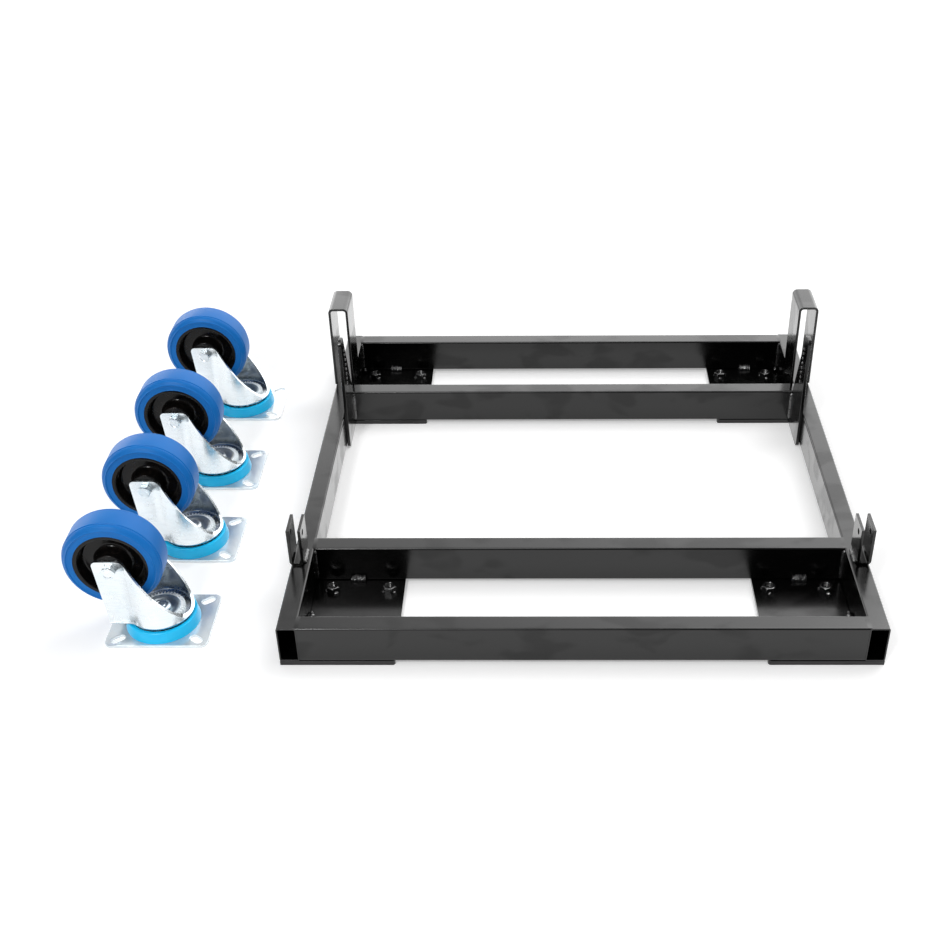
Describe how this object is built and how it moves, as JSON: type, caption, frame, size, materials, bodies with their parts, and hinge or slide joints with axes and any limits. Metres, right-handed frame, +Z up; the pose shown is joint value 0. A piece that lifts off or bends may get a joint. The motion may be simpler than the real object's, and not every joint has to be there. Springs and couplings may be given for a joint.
{
  "type": "wheeled engine stand frame",
  "caption": "Low welded floor frame of rectangular tube with rear hoops and ears, front pin clevises, corner plates for bolting, and loose blue swivel castors beside it.",
  "frame": {"origin": "middle of the footprint of the frame and its four castors, on the floor", "axes": "+X to the right, with the castors on the left; +Y to the back, where the hoops stand; +Z up"},
  "size_m": [0.8184, 0.59, 0.155],
  "materials": {
    "powder_black": "semi-gloss powder coat",
    "zinc": "bright zinc plate",
    "steel": "satin",
    "tyre_blue": "smooth elastic rubber",
    "seal_blue": "gloss",
    "rim_black": "gloss moulded nylon"
  },
  "bodies": {
    "frame": {"side_tube_left": "powder_black", "side_tube_right": "powder_black", "cross_tube_front": "powder_black", "cross_tube_second": "powder_black", "cross_tube_third": "powder_black", "cross_tube_back": "powder_black", "corner_plate_front_left": "powder_black", "corner_plate_front_right": "powder_black", "corner_plate_rear_left": "powder_black", "corner_plate_rear_right": "powder_black", "hoop_left": "powder_black", "hoop_right": "powder_black", "ear_left": "powder_black", "ear_right": "powder_black", "clevis_left": "powder_black", "clevis_right": "powder_black", "weld_beads": "powder_black", "weld_nuts": "powder_black", "swivel_balls": "steel", "castor_1_plate": "zinc", "castor_1_kingpin": "zinc", "castor_1_seal": "seal_blue", "castor_1_race": "zinc", "castor_2_plate": "zinc", "castor_2_kingpin": "zinc", "castor_2_seal": "seal_blue", "castor_2_race": "zinc", "castor_3_plate": "zinc", "castor_3_kingpin": "zinc", "castor_3_seal": "seal_blue", "castor_3_race": "zinc", "castor_4_plate": "zinc", "castor_4_kingpin": "zinc", "castor_4_seal": "seal_blue", "castor_4_race": "zinc"},
    "castor_1_swivel": {"castor_1_fork": "zinc", "castor_1_axle": "zinc", "castor_1_spacer": "steel"},
    "castor_1_wheel": {"castor_1_tyre": "tyre_blue", "castor_1_rim": "rim_black", "castor_1_bearing": "steel"},
    "castor_2_swivel": {"castor_2_fork": "zinc", "castor_2_axle": "zinc", "castor_2_spacer": "steel"},
    "castor_2_wheel": {"castor_2_tyre": "tyre_blue", "castor_2_rim": "rim_black", "castor_2_bearing": "steel"},
    "castor_3_swivel": {"castor_3_fork": "zinc", "castor_3_axle": "zinc", "castor_3_spacer": "steel"},
    "castor_3_wheel": {"castor_3_tyre": "tyre_blue", "castor_3_rim": "rim_black", "castor_3_bearing": "steel"},
    "castor_4_swivel": {"castor_4_fork": "zinc", "castor_4_axle": "zinc", "castor_4_spacer": "steel"},
    "castor_4_wheel": {"castor_4_tyre": "tyre_blue", "castor_4_rim": "rim_black", "castor_4_bearing": "steel"}
  },
  "joints": [
    {"name": "castor_1_swivel_turn", "type": "hinge", "parent": "frame", "child": "castor_1_swivel", "pos_m": [-0.32325, -0.23, 0.018], "axis": [0, 0, 1], "continuous": true},
    {"name": "castor_1_wheel_spin", "type": "hinge", "parent": "castor_1_swivel", "child": "castor_1_wheel", "pos_m": [-0.35925, -0.23, 0.087], "axis": [0, 1, 0], "continuous": true},
    {"name": "castor_2_swivel_turn", "type": "hinge", "parent": "frame", "child": "castor_2_swivel", "pos_m": [-0.32125, -0.093, 0.018], "axis": [0, 0, 1], "continuous": true},
    {"name": "castor_2_wheel_spin", "type": "hinge", "parent": "castor_2_swivel", "child": "castor_2_wheel", "pos_m": [-0.35725, -0.093, 0.087], "axis": [0, 1, 0], "continuous": true},
    {"name": "castor_3_swivel_turn", "type": "hinge", "parent": "frame", "child": "castor_3_swivel", "pos_m": [-0.32125, 0.044, 0.018], "axis": [0, 0, 1], "continuous": true},
    {"name": "castor_3_wheel_spin", "type": "hinge", "parent": "castor_3_swivel", "child": "castor_3_wheel", "pos_m": [-0.35725, 0.044, 0.087], "axis": [0, 1, 0], "continuous": true},
    {"name": "castor_4_swivel_turn", "type": "hinge", "parent": "frame", "child": "castor_4_swivel", "pos_m": [-0.31925, 0.1965, 0.018], "axis": [0, 0, 1], "continuous": true},
    {"name": "castor_4_wheel_spin", "type": "hinge", "parent": "castor_4_swivel", "child": "castor_4_wheel", "pos_m": [-0.35525, 0.1965, 0.087], "axis": [0, 1, 0], "continuous": true}
  ]
}
